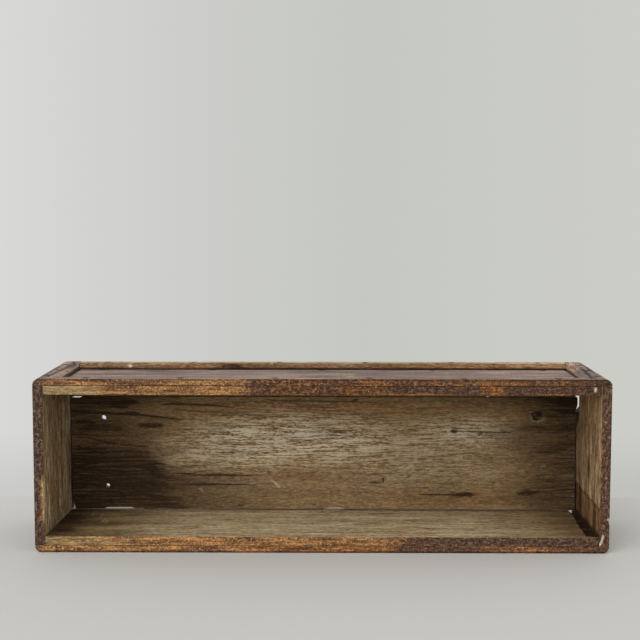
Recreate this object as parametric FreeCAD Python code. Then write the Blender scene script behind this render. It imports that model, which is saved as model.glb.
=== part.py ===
import FreeCAD, Part
import os

# Long narrow nailed box, lying on one of its long sides with its mouth towards -Y.
# +X runs along the length, +Y from the mouth to the base, +Z up.
# The origin is at the middle of the footprint, on the surface that the box lies on.

# Overall size
box_length = 457.0
box_depth = 114.3
box_height = 139.7

# End boards, split from a wedge, so the left one is thicker at the base than at the mouth
end_board_thickness = 8.3
left_end_swell = 2.4
right_end_swell = 0.5

# Long side boards, held between the end boards
side_board_thickness = 7.4
lower_side_thinning = 1.5

# Strips that frame the outer face of each long side
frame_thickness = 5.7
stile_width = 17.6
mouth_rail_width = 10.5
base_rail_width = 10.0
corner_radius = 5.5
corner_square = 0.2

# Bottom of the box, two boards edge to edge, set in from the base edges of the sides
bottom_thickness = 7.9
bottom_set_in = 8.4
narrow_board_width = 15.0
board_joint_gap = 0.4
bottom_edge_gap = 0.3
bottom_end_gap = 0.4

# Shrinkage and damage of the bottom boards, where daylight shows past them
right_corner_gap = 3.7
right_corner_gap_height = 47.0
left_chip_width = 3.0
left_chip_height = 12.0
joint_split_drop = 2.0
joint_split_length = 8.0
joint_split_run_out = 7.0

# Old fixing holes through the wide bottom board
# Insets are from an end board's inner face, rises from the lower side and drops from the board's top edge
left_high_hole_inset = 28.5
left_high_hole_drop = 18.8
left_high_hole_diameter = 4.5
left_low_hole_inset = 31.5
left_low_hole_rise = 19.5
left_low_hole_diameter = 3.9
right_low_hole_inset = 42.5
right_low_hole_rise = 14.0
right_low_hole_diameter = 2.6
right_high_hole_inset = 34.0
right_high_hole_drop = 16.3
right_high_hole_diameter = 2.4
cutter_overrun = 1.0

# Iron cut nails: a flat head and a shank that tapers on its broad faces
nail_head_length = 3.2
nail_head_width = 2.2
nail_head_height = 0.8
nail_shank_breadth = 2.0
nail_shank_thickness = 1.3
nail_tip_breadth = 0.9
nail_head_sink = 0.25
corner_nail_length = 26.0
frame_brad_cover = 2.6
stile_nail_length = 20.0
bottom_nail_length = 21.0

# How many nails each joint has, and how far the first and last are from the ends of the joint
corner_nail_count = 4
corner_nail_margin = 16.0
stile_nail_count = 3
stile_nail_margin = 21.0
rail_nail_count = 6
rail_nail_margin = 24.0
bottom_side_nail_count = 5
bottom_side_nail_margin = 38.0
bottom_end_nail_count = 3
bottom_end_nail_margin = 14.0

# Heights and places that follow from the sizes above
left, right = -1, 1
lower, upper = -1, 1
half_length = box_length / 2
corner_round = min(corner_radius, frame_thickness - corner_square)
frame_brad_length = frame_thickness + side_board_thickness - frame_brad_cover
mouth_y = -box_depth / 2
base_y = box_depth / 2
side_bottom_z = frame_thickness
side_top_z = box_height - frame_thickness
floor_z = frame_thickness + side_board_thickness
ceiling_z = box_height - frame_thickness - side_board_thickness
bottom_back_y = base_y - bottom_set_in
bottom_front_y = bottom_back_y - bottom_thickness
bottom_low_z = floor_z + bottom_edge_gap
bottom_high_z = ceiling_z - bottom_edge_gap
board_joint_z = bottom_high_z - narrow_board_width
wide_board_top_z = board_joint_z - board_joint_gap


def depth_share(y):
    """How far y lies from the mouth to the base, 0 at the mouth and 1 at the base."""
    return (y - mouth_y) / box_depth


def inner_end_x(side, y):
    """X of an end board's inner face at depth y."""
    swell = left_end_swell if side == left else right_end_swell
    return side * (half_length - end_board_thickness - swell * depth_share(y))


def block(x0, x1, y0, y1, z0, z1):
    """Rectangular solid between two corners, given in any order."""
    low = FreeCAD.Vector(min(x0, x1), min(y0, y1), min(z0, z1))
    return Part.makeBox(abs(x1 - x0), abs(y1 - y0), abs(z1 - z0), low)


def prism(points, direction):
    """Solid that carries a flat outline along a direction."""
    corners = [FreeCAD.Vector(*point) for point in points]
    outline = Part.makePolygon(corners + corners[:1])
    return Part.Face(outline).extrude(FreeCAD.Vector(*direction))


def spread(start, end, margin, count):
    """Evenly spaced places between start and end, the outer two a margin in from them."""
    first = start + margin
    step = (end - start - 2 * margin) / (count - 1)
    return [first + step * index for index in range(count)]


def cut_nail(head, direction, length, broad):
    """Cut nail whose head's outer face is centred on head.

    The nail is driven along direction, and its head and shank are broadest along broad.
    """
    along = FreeCAD.Vector(*direction)
    wide = FreeCAD.Vector(*broad)
    thin = along.cross(wide)
    start = FreeCAD.Vector(*head)

    def outline(distance, breadth, thickness):
        centre = start + along * distance
        corners = []
        for across, over in ((-1, -1), (1, -1), (1, 1), (-1, 1)):
            corners.append(centre + wide * (across * breadth / 2) + thin * (over * thickness / 2))
        return Part.makePolygon(corners + corners[:1])

    head_plate = Part.Face(outline(0, nail_head_length, nail_head_width)).extrude(along * nail_head_height)
    shank_top = outline(nail_head_height, nail_shank_breadth, nail_shank_thickness)
    shank_tip = outline(length, nail_tip_breadth, nail_shank_thickness)
    shank = Part.makeLoft([shank_top, shank_tip], True, True)
    return head_plate.fuse(shank).removeSplitter()


def end_board(side):
    """End board, a wedge in plan, between the outer frames of the two long sides."""
    outer_x = side * half_length
    points = [
        (outer_x, mouth_y, side_bottom_z),
        (inner_end_x(side, mouth_y), mouth_y, side_bottom_z),
        (inner_end_x(side, base_y), base_y, side_bottom_z),
        (outer_x, base_y, side_bottom_z),
    ]
    return prism(points, (0, 0, side_top_z - side_bottom_z))


def long_side_plan(z):
    """Outline, at height z, of what lies between the two end boards."""
    return [
        (inner_end_x(left, mouth_y), mouth_y, z),
        (inner_end_x(right, mouth_y), mouth_y, z),
        (inner_end_x(right, base_y), base_y, z),
        (inner_end_x(left, base_y), base_y, z),
    ]


def side_board(level):
    """Long side board, held between the end boards. The lower one thins towards the base."""
    if level == upper:
        return prism(long_side_plan(ceiling_z), (0, 0, side_board_thickness))
    board = prism(long_side_plan(side_bottom_z), (0, 0, side_board_thickness))
    thinned = prism(
        [
            (-half_length, mouth_y, floor_z),
            (-half_length, base_y, floor_z),
            (-half_length, base_y, floor_z - lower_side_thinning),
        ],
        (box_length, 0, 0),
    )
    return board.cut(thinned)


def frame_heights(level):
    """Inner and outer height of the frame strips of one long side."""
    if level == upper:
        return side_top_z, box_height
    return side_bottom_z, 0.0


def stile(side, level):
    """Frame strip across an end of a long side, with its outer corner rounded along the depth."""
    inner_z, outer_z = frame_heights(level)
    outer_x = side * half_length
    inner_x = side * (half_length - stile_width)
    round_x = outer_x - side * corner_round
    round_z = outer_z - level * corner_round
    reach = corner_round * 0.5 ** 0.5
    middle = FreeCAD.Vector(round_x + side * reach, mouth_y, round_z + level * reach)
    inner_low = FreeCAD.Vector(inner_x, mouth_y, inner_z)
    outer_low = FreeCAD.Vector(outer_x, mouth_y, inner_z)
    round_start = FreeCAD.Vector(outer_x, mouth_y, round_z)
    round_end = FreeCAD.Vector(round_x, mouth_y, outer_z)
    inner_high = FreeCAD.Vector(inner_x, mouth_y, outer_z)
    edges = [
        Part.makeLine(inner_low, outer_low),
        Part.makeLine(outer_low, round_start),
        Part.Arc(round_start, middle, round_end).toShape(),
        Part.makeLine(round_end, inner_high),
        Part.makeLine(inner_high, inner_low),
    ]
    return Part.Face(Part.Wire(edges)).extrude(FreeCAD.Vector(0, box_depth, 0))


def rail(near_y, far_y, level):
    """Frame strip along a long side, between its two stiles."""
    inner_z, outer_z = frame_heights(level)
    inner_x = half_length - stile_width
    return block(-inner_x, inner_x, near_y, far_y, inner_z, outer_z)


def bottom_end_x(side):
    """X of the squared ends of the bottom boards, clear of the end board."""
    return inner_end_x(side, bottom_back_y) - side * bottom_end_gap


def right_edge_x(z):
    """X of the bottom boards' right ends, cut out of square above the foot of the corner gap."""
    foot_z = bottom_high_z - right_corner_gap_height
    share = max(0.0, (z - foot_z) / right_corner_gap_height)
    return bottom_end_x(right) - right_corner_gap * share


def fixing_hole(side, inset, z, diameter):
    """Round cutter through the wide bottom board for one old fixing hole."""
    x = inner_end_x(side, bottom_front_y) - side * inset
    start = FreeCAD.Vector(x, bottom_front_y - cutter_overrun, z)
    reach = bottom_thickness + 2 * cutter_overrun
    return Part.makeCylinder(diameter / 2, reach, start, FreeCAD.Vector(0, 1, 0))


def wide_bottom_board():
    """Lower and wider bottom board, with its chipped and split left corners and old fixing holes."""
    low_z = bottom_low_z
    top_z = wide_board_top_z
    left_x = bottom_end_x(left)
    foot_z = bottom_high_z - right_corner_gap_height
    split_end_x = left_x + joint_split_length
    points = [
        (left_x + left_chip_width, bottom_front_y, low_z),
        (bottom_end_x(right), bottom_front_y, low_z),
        (bottom_end_x(right), bottom_front_y, foot_z),
        (right_edge_x(top_z), bottom_front_y, top_z),
        (split_end_x + joint_split_run_out, bottom_front_y, top_z),
        (split_end_x, bottom_front_y, top_z - joint_split_drop),
        (left_x, bottom_front_y, top_z - joint_split_drop),
        (left_x, bottom_front_y, low_z + left_chip_height),
    ]
    board = prism(points, (0, bottom_thickness, 0))
    holes = [
        fixing_hole(left, left_high_hole_inset, top_z - left_high_hole_drop, left_high_hole_diameter),
        fixing_hole(left, left_low_hole_inset, floor_z + left_low_hole_rise, left_low_hole_diameter),
        fixing_hole(right, right_low_hole_inset, floor_z + right_low_hole_rise, right_low_hole_diameter),
        fixing_hole(right, right_high_hole_inset, top_z - right_high_hole_drop, right_high_hole_diameter),
    ]
    for hole in holes:
        board = board.cut(hole)
    return board


def narrow_bottom_board():
    """Upper and narrower bottom board."""
    left_x = bottom_end_x(left)
    points = [
        (left_x, bottom_front_y, board_joint_z),
        (right_edge_x(board_joint_z), bottom_front_y, board_joint_z),
        (right_edge_x(bottom_high_z), bottom_front_y, bottom_high_z),
        (left_x, bottom_front_y, bottom_high_z),
    ]
    return prism(points, (0, bottom_thickness, 0))


def corner_nails(side, level):
    """Nails through an end board into the end of a long side board."""
    if level == upper:
        z = ceiling_z + side_board_thickness / 2
    else:
        z = side_bottom_z + (side_board_thickness - lower_side_thinning) / 2
    x = side * (half_length - nail_head_sink)
    places = spread(mouth_y, base_y, corner_nail_margin, corner_nail_count)
    return [cut_nail((x, y, z), (-side, 0, 0), corner_nail_length, (0, 1, 0)) for y in places]


def stile_nails(side, level):
    """Nails through a stile into the edge of the end board under it."""
    outer_z = frame_heights(level)[1] - level * nail_head_sink
    x = side * (half_length - (end_board_thickness + corner_round) / 2)
    places = spread(mouth_y, base_y, stile_nail_margin, stile_nail_count)
    return [cut_nail((x, y, outer_z), (0, 0, -level), stile_nail_length, (0, 1, 0)) for y in places]


def rail_nails(near_y, far_y, level):
    """Brads through a rail into the long side board under it."""
    outer_z = frame_heights(level)[1] - level * nail_head_sink
    rail_end = half_length - stile_width
    places = spread(-rail_end, rail_end, rail_nail_margin, rail_nail_count)
    y = (near_y + far_y) / 2
    return [cut_nail((x, y, outer_z), (0, 0, -level), frame_brad_length, (1, 0, 0)) for x in places]


def bottom_side_nails(level):
    """Nails through a long side board into the edge of the bottom."""
    if level == upper:
        panel_z = side_top_z
    else:
        panel_z = side_bottom_z
    y = (bottom_front_y + bottom_back_y) / 2
    head_z = panel_z - level * nail_head_sink
    places = spread(-half_length, half_length, bottom_side_nail_margin, bottom_side_nail_count)
    return [cut_nail((x, y, head_z), (0, 0, -level), bottom_nail_length, (1, 0, 0)) for x in places]


def bottom_end_nails(side):
    """Nails through an end board into the ends of the bottom boards."""
    y = (bottom_front_y + bottom_back_y) / 2
    x = side * (half_length - nail_head_sink)
    places = spread(bottom_low_z, wide_board_top_z, bottom_end_nail_margin, bottom_end_nail_count)
    places.append((board_joint_z + bottom_high_z) / 2)
    return [cut_nail((x, y, z), (-side, 0, 0), bottom_nail_length, (0, 0, 1)) for z in places]


def nailed(board, nail_groups):
    """Board with a hole for every nail that reaches it."""
    for nails in nail_groups:
        for nail in nails:
            if board.BoundBox.intersect(nail.BoundBox):
                board = board.cut(nail)
    return board.removeSplitter()


side_names = {left: "left", right: "right"}
level_names = {lower: "lower", upper: "upper"}
mouth_rail_ys = (mouth_y, mouth_y + mouth_rail_width)
base_rail_ys = (base_y - base_rail_width, base_y)

boards = {}
nail_groups = {}

for side, side_name in side_names.items():
    boards[side_name + "_end_board"] = end_board(side)
    nail_groups[side_name + "_bottom_nails"] = bottom_end_nails(side)

for level, level_name in level_names.items():
    boards[level_name + "_side_board"] = side_board(level)
    boards[level_name + "_mouth_rail"] = rail(*mouth_rail_ys, level)
    boards[level_name + "_base_rail"] = rail(*base_rail_ys, level)
    nail_groups[level_name + "_mouth_rail_nails"] = rail_nails(*mouth_rail_ys, level)
    nail_groups[level_name + "_base_rail_nails"] = rail_nails(*base_rail_ys, level)
    nail_groups[level_name + "_bottom_nails"] = bottom_side_nails(level)
    for side, side_name in side_names.items():
        corner_name = level_name + "_" + side_name
        boards[corner_name + "_stile"] = stile(side, level)
        nail_groups[corner_name + "_stile_nails"] = stile_nails(side, level)
        nail_groups[corner_name + "_corner_nails"] = corner_nails(side, level)

boards["wide_bottom_board"] = wide_bottom_board()
boards["narrow_bottom_board"] = narrow_bottom_board()

os.makedirs("parts", exist_ok=True)
for name, board in boards.items():
    nailed(board, nail_groups.values()).exportStep("parts/" + name + ".step")
for name, nails in nail_groups.items():
    Part.makeCompound(nails).exportStep("parts/" + name + ".step")

print("pieces:", len(boards) + len(nail_groups))
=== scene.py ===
"""An old open candle box: worn boards, painted rims, bare inside, iron cut nails."""
import math
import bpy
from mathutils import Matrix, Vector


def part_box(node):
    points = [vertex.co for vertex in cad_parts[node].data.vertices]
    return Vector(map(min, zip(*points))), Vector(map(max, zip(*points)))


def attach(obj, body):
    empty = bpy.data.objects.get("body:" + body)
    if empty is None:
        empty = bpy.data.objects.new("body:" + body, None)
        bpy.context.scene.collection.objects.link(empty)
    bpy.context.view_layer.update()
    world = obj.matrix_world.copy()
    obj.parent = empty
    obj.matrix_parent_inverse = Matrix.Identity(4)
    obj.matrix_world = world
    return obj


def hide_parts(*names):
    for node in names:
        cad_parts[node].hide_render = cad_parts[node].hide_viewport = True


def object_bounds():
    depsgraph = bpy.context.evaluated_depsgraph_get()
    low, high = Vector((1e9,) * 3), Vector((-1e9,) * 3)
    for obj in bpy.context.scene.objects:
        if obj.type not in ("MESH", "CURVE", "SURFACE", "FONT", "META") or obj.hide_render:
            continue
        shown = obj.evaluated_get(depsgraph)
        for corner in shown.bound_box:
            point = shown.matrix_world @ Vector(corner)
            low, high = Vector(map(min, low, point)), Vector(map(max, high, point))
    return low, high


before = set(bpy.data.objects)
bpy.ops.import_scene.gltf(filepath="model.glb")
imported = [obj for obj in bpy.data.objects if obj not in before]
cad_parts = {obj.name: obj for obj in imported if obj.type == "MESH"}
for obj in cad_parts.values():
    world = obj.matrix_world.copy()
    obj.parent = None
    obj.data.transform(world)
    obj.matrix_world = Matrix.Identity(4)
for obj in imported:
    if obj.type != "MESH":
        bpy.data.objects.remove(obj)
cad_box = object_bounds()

from types import SimpleNamespace

import bpy
import numpy as np
from mathutils import Matrix, Vector

MM = 0.001
TINY = 1e-9

# Camera, as worked out from the converging edges of the box
LENS = 72.4
SENSOR = 36.0
CAMERA_PLACE = (3.5 * MM, -1061.0 * MM, 275.0 * MM)
CAMERA_PITCH_DOWN = math.radians(5.055)
CAMERA_TURN_LEFT = math.radians(0.293)
CAMERA_ROLL = math.radians(0.067)

# Room and light
FLOOR_HALF = 4.0
WALL_BEHIND = 142 * MM
WALL_HEIGHT = 3.0
DUSK_HEIGHT = 70 * MM
SKY_STRENGTH = 0.85
SUN_ENERGY = 1.3
SUN_ANGLE = math.radians(50)
SUN_HEADING = (0.55, 0.95, -0.7)

# Boards: how far each differs from its CAD node, and how coarse its grid is along, across and through
LEFT_END_SWELL = 2.4 * MM
RIGHT_END_SWELL = 0.5 * MM
LOWER_SIDE_THINNING = 1.5 * MM
CROWN = 0.2 * MM
FIT = 0.06 * MM
END_STEPS = (1.5 * MM, 0.8 * MM, 0.8 * MM)
SIDE_STEPS = (1.6 * MM, 0.95 * MM, 0.7 * MM)
BOTTOM_STEPS = (1.35 * MM, 0.82 * MM, 0.9 * MM)
STRIP_STEP = 1.2 * MM
SECTION_STEP = 0.85 * MM

# Arrises, by the radius that each is worn to
STILE_ROUND = 5.5 * MM
ARRIS = 0.7 * MM
SOFT_ARRIS = 0.45 * MM
BOTTOM_ARRIS = 0.4 * MM
SIDE_ARRIS = 0.25 * MM
TIGHT_ARRIS = 0.15 * MM
ARRIS_WEAR = 0.5
END_SHRINK = (0.85, 0.68, 0.5, 0.3)

# Nail heads in millimetres: how far the pit reaches, and how deep it is
HEAD_REACH = 1.8
HEAD_PIT = 0.45

MOUTH, BASE = cad_box[0][1], cad_box[1][1]


# Noise and soft shapes

# Big odd numbers that mix the bits of a lattice corner's whole coordinates and of the seed
MIX_X, MIX_Y, MIX_Z, MIX_SEED = 374761393, 668265263, 2246822519, 3266489917
MIX_FIRST, MIX_SECOND = 1274126177, 2654435761


def lattice_value(ix, iy, iz, seed):
    """One number from 0 to 1 for each lattice corner, from its mixed whole coordinates."""
    mixed = (ix.astype(np.uint64) * np.uint64(MIX_X) + iy.astype(np.uint64) * np.uint64(MIX_Y)
             + iz.astype(np.uint64) * np.uint64(MIX_Z) + np.uint64(seed * MIX_SEED))
    mixed = (mixed ^ (mixed >> np.uint64(13))) * np.uint64(MIX_FIRST)
    mixed = (mixed ^ (mixed >> np.uint64(29))) * np.uint64(MIX_SECOND)
    return ((mixed >> np.uint64(16)) & np.uint64(0xFFFFFF)).astype(float) / 0xFFFFFF


def noise(points, size, seed):
    """Smooth noise from -1 to 1: the eight lattice corners round a point, mixed by smoothed distance."""
    scaled = points / np.asarray(size, float)
    cell = np.floor(scaled).astype(np.int64)
    part = scaled - cell
    part = part * part * (3 - 2 * part)
    total = np.zeros(len(points))
    for corner in range(8):
        step = np.array([corner & 1, (corner >> 1) & 1, (corner >> 2) & 1])
        weight = np.prod(np.where(step, part, 1 - part), axis=1)
        total += weight * lattice_value(*(cell + step).T, seed)
    return total * 2 - 1


def layered(points, size, seed, layers=3):
    """Noise plus the same noise at half the size and half the height, and so on."""
    total = np.zeros(len(points))
    for layer in range(layers):
        total += noise(points, np.asarray(size, float) / 2 ** layer, seed + layer) / 2 ** layer
    return total / (2 - 2 ** (1 - layers))


def ease(low, high, value):
    """0 at low, 1 at high and beyond, a smooth S between."""
    share = np.clip((value - low) / (high - low), 0, 1)
    return share * share * (3 - 2 * share)


def window(value, start, full, fading, end):
    """1 from full to fading, 0 before start and after end, a smooth S on both sides."""
    return ease(start, full, value) * ease(end, fading, value)


def spot(u, v, centre, half_size):
    """1 at the centre of an ellipse, falling smoothly to 0 at its edge."""
    far = ((u - centre[0]) / half_size[0]) ** 2 + ((v - centre[1]) / half_size[1]) ** 2
    return np.clip(1 - far, 0, 1) ** 2


def spots(u, v, *places):
    """Several spots added up, each given by its height, centre and half size."""
    return sum(height * spot(u, v, centre, half_size) for height, centre, half_size in places)


def stroke(u, v, start, end, width, bow=0.0):
    """1 along a line from start to end, falling to 0 at the width.

    The line is bowed sideways by a parabola and runs thin at its ends."""
    run = np.array(end, float) - np.array(start, float)
    length = np.hypot(*run)
    along = ((u - start[0]) * run[0] + (v - start[1]) * run[1]) / length ** 2
    bowed = bow * 4 * along * (1 - along)
    aside = ((v - start[1]) * run[0] - (u - start[0]) * run[1]) / length - bowed
    taper = np.clip(4 * along * (1 - along), 0, 1) ** 0.5
    near = np.clip(1 - (aside / (width * np.maximum(taper, 1e-6))) ** 2, 0, 1)
    return near * ((along > 0) & (along < 1))


def strokes(u, v, width, lines):
    """Several strokes of one width added up, each given by its start and end."""
    return sum(stroke(u, v, start, end, width) for start, end in lines)


def stops(value, *pairs):
    """A level that runs straight from one named place to the next."""
    return np.interp(value, [p[0] for p in pairs], [p[1] for p in pairs])


def along_grain(axis, length, across):
    """A step size that is long along the grain's axis and short across it."""
    size = [across, across, across]
    size[axis] = length
    return tuple(size)


# Meshes

def grid_lines(start, end, step, rim, holes=()):
    """Where the grid lines run: close together in the rim at both ends, seven across each hole."""
    near = rim * np.array([0.0, 0.12, 0.3, 0.55, 0.85, 1.25])
    count = max(2, round((end - start - 2 * near[-1]) / step))
    middle = np.linspace(start + near[-1], end - near[-1], count + 1)[1:-1]
    lines = np.concatenate([start + near, middle, (end - near)[::-1]])
    for centre, half in holes:
        lines = lines[np.abs(lines - centre) > half + 0.35 * step]
        lines = np.sort(np.append(lines, centre + half * np.linspace(-1, 1, 7)))
    return lines


def reach_of(node, axes):
    """Lowest and highest of a CAD node along the grain, across and through, less the fit."""
    ends = np.sort(np.array([axes @ np.array(corner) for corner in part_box(node)]), axis=0)
    return ends[0] + FIT, ends[1] - FIT


def open_holes(grain, across, holes):
    """Which cells of the grid stay, and its points with each hole's square rim pulled to a circle."""
    flat_g, flat_a = (grid.ravel() for grid in np.meshgrid(grain, across, indexing="ij"))
    mid_g, mid_a = (grain[1:] + grain[:-1]) / 2, (across[1:] + across[:-1]) / 2
    keep = np.ones((len(mid_g), len(mid_a)), bool)
    moved_g, moved_a = flat_g.copy(), flat_a.copy()
    for centre, half in holes:
        in_rows, in_columns = np.abs(mid_g - centre[0]) < half, np.abs(mid_a - centre[1]) < half
        keep &= ~(in_rows[:, None] & in_columns[None, :])
        apart_g, apart_a = flat_g - centre[0], flat_a - centre[1]
        square = np.maximum(np.abs(apart_g), np.abs(apart_a))
        far = np.maximum(np.hypot(apart_g, apart_a), TINY)
        share = ease(half, 3 * half, square)
        reach = (1 - share) * square + share * far
        near = square < 3 * half
        moved_g[near] = (centre[0] + apart_g * reach / far)[near]
        moved_a[near] = (centre[1] + apart_a * reach / far)[near]
    return keep, moved_g, moved_a


def rim_edges(index, keep):
    """The grid's edges that have a kept cell on one side only, all turning the same way round."""
    padded = np.zeros((keep.shape[0] + 2, keep.shape[1] + 2), bool)
    padded[1:-1, 1:-1] = keep
    lower, upper = padded[1:-1, 1:], padded[1:-1, :-1]
    right, left = padded[1:, 1:-1], padded[:-1, 1:-1]
    ways = [(index[:-1, :], index[1:, :], lower & ~upper), (index[1:, :], index[:-1, :], upper & ~lower),
            (index[:, 1:], index[:, :-1], right & ~left), (index[:, :-1], index[:, 1:], left & ~right)]
    return np.concatenate([np.stack([start[mask], end[mask]], axis=1) for start, end, mask in ways])


def plank(node, axes, steps, radius, holes=()):
    """A board as two skins and the walls between them, with every arris rounded.

    Each point of a box's surface is drawn back to the box made smaller by the radius, and put out
    again by the radius along the line between, so that arrises and corners become parts of cylinders
    and spheres. Round holes are left-out cells. Returns points, outward directions and quads. axes
    are the world directions of the grain, across and through."""
    axes = np.array(axes, float)
    low, high = reach_of(node, axes)
    around = [(axes @ np.array(centre), half) for centre, half in holes]
    grain = grid_lines(low[0], high[0], steps[0], radius, [(c[0], half) for c, half in around])
    across = grid_lines(low[1], high[1], steps[1], radius, [(c[1], half) for c, half in around])
    levels = grid_lines(low[2], high[2], steps[2], radius)[::-1]
    keep, flat_g, flat_a = open_holes(grain, across, around)
    total = len(grain) * len(across)
    index = np.arange(total).reshape(len(grain), len(across))
    corners = [index[:-1, :-1], index[1:, :-1], index[1:, 1:], index[:-1, 1:]]
    skin = np.stack([corner[keep] for corner in corners], axis=1)
    edges = rim_edges(index, keep)
    rim, place = np.unique(edges, return_inverse=True)
    place = place.reshape(edges.shape)
    between = [2 * total + row * len(rim) + np.arange(len(rim)) for row in range(len(levels) - 2)]
    loops = [rim] + between + [rim + total]
    walls = [np.stack([up[place[:, 1]], up[place[:, 0]], down[place[:, 0]], down[place[:, 1]]], axis=1)
             for up, down in zip(loops[:-1], loops[1:])]
    quads = np.concatenate([skin, skin[:, ::-1] + total] + walls)
    skins = [np.stack([flat_g, flat_a, np.full(total, level)], axis=1) for level in levels[[0, -1]]]
    rows = [np.stack([flat_g[rim], flat_a[rim], np.full(len(rim), level)], axis=1)
            for level in levels[1:-1]]
    points = np.concatenate(skins + rows)
    inner = np.clip(points, low + radius, high - radius)
    out = points - inner
    size = np.linalg.norm(out, axis=1)
    free = size > TINY
    out[free] /= size[free][:, None]
    in_wall = np.arange(len(points)) >= 2 * total
    in_hole = in_wall & (np.abs(points[:, :2] - inner[:, :2]).max(axis=1) < TINY)
    out[in_hole] = 0
    rounded = np.where(in_hole[:, None], points, inner + radius * out)
    used, quads = np.unique(quads, return_inverse=True)
    return rounded[used] @ axes, out[used] @ axes, quads.reshape(-1, 4)


def close_ends(rings, middle):
    """Points, outward directions, quads and triangles that shrink the end rings to one point each."""
    count, around = rings.shape[:2]
    points, out, quads, triangles = [], [], [], []
    first = count * around
    for ring, sign in ((0, -1), (count - 1, 1)):
        loops = [ring * around + np.arange(around)]
        for share in END_SHRINK:
            cap = rings[ring].copy()
            cap[:, 1:] = middle + (cap[:, 1:] - middle) * share
            points.append(cap)
            loops.append(first + np.arange(around))
            first += around
        points.append(np.array([[rings[ring, 0, 0], *middle]]))
        out.append(np.broadcast_to(np.array([sign, 0.0, 0.0]), (len(END_SHRINK) * around + 1, 3)))
        for outer, inside in zip(loops[:-1], loops[1:]):
            band = np.stack([outer, np.roll(outer, -1), np.roll(inside, -1), inside], axis=1)
            quads.append(band[:, ::sign])
        fan = np.stack([loops[-1], np.roll(loops[-1], -1), np.full(around, first)], axis=1)
        triangles.append(fan[:, ::sign])
        first += 1
    return points, out, quads, triangles


def strip(node, axes, radii, seed):
    """A moulding: a four-sided section with rounded corners, carried along the grain and closed.

    radii are those of the corners at (low, low), (high, low), (high, high), (low, high) across and
    through; each swells and shrinks along the strip by the wear. Each end is drawn in by a quarter
    circle, then its rings shrink to one point."""
    axes = np.array(axes, float)
    low, high = reach_of(node, axes)
    grain = grid_lines(low[0], high[0], STRIP_STEP, TIGHT_ARRIS)
    spine = np.stack([grain, np.zeros_like(grain), np.zeros_like(grain)], axis=1)
    corners, outs = [], []
    for place, (across, through) in enumerate(((-1, -1), (1, -1), (1, 1), (-1, 1))):
        wear = ARRIS_WEAR * (radii[place] < STILE_ROUND / 2)
        radius = radii[place] * (1 + wear * noise(spine, (14 * MM, 1, 1), seed + place))
        centre_a = np.where(across < 0, low[1] + radius, high[1] - radius)
        centre_t = np.where(through < 0, low[2] + radius, high[2] - radius)
        angle = math.pi * ((1 + 0.5 * place) % 2) + np.linspace(0, math.pi / 2, 7)
        corners.append(np.stack([centre_a[:, None] + radius[:, None] * np.cos(angle),
                                 centre_t[:, None] + radius[:, None] * np.sin(angle)], axis=2))
        turned = np.stack([np.cos(angle), np.sin(angle)], axis=1)
        outs.append(np.broadcast_to(turned, corners[-1].shape))
    section, facing = [], []
    for place in range(4):
        here, there = corners[place], corners[(place + 1) % 4]
        count = max(2, round(np.linalg.norm(here[0, -1] - there[0, 0]) / SECTION_STEP))
        share = np.linspace(0, 1, count + 1)[1:-1][None, :, None]
        section += [here, here[:, -1:] * (1 - share) + there[:, :1] * share]
        facing += [outs[place], np.broadcast_to(outs[place][:, -1:], section[-1].shape)]
    section, facing = np.concatenate(section, axis=1), np.concatenate(facing, axis=1)
    count, around = section.shape[:2]
    middle, half = (low[1:] + high[1:]) / 2, (high[1:] - low[1:]) / 2
    rings = np.concatenate([np.broadcast_to(grain[:, None, None], (count, around, 1)), section], axis=2)
    lean = np.clip(1 - np.minimum(grain - grain[0], grain[-1] - grain) / TIGHT_ARRIS, 0, 1)
    upright = np.sqrt(1 - lean ** 2)
    inset = TIGHT_ARRIS * (1 - upright)
    rings[:, :, 1:] = middle + (rings[:, :, 1:] - middle) * (1 - inset[:, None] / half)[:, None, :]
    towards = np.concatenate([np.zeros((count, around, 1)), facing], axis=2) * upright[:, None, None]
    towards[:, :, 0] = (np.where(np.arange(count) < count / 2, -1.0, 1.0) * lean)[:, None]
    cap_points, cap_out, cap_quads, triangles = close_ends(rings, middle)
    points = np.concatenate([rings.reshape(-1, 3)] + cap_points)
    out = np.concatenate([towards.reshape(-1, 3)] + cap_out)
    index = np.arange(count * around).reshape(count, around)
    turn = np.roll(index, -1, axis=1)
    sides = np.stack([index[:-1], turn[:-1], turn[1:], index[1:]], axis=2).reshape(-1, 4)
    return points @ axes, out @ axes, np.concatenate([sides] + cap_quads), np.concatenate(triangles)


# Materials

def seen(red, green, blue):
    """A colour written as it looks on a screen, 0 to 255, turned into light."""
    shares = np.array([red, green, blue]) / 255
    light = np.where(shares <= 0.04045, shares / 12.92, ((shares + 0.055) / 1.055) ** 2.4)
    return tuple(light) + (1.0,)


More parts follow.
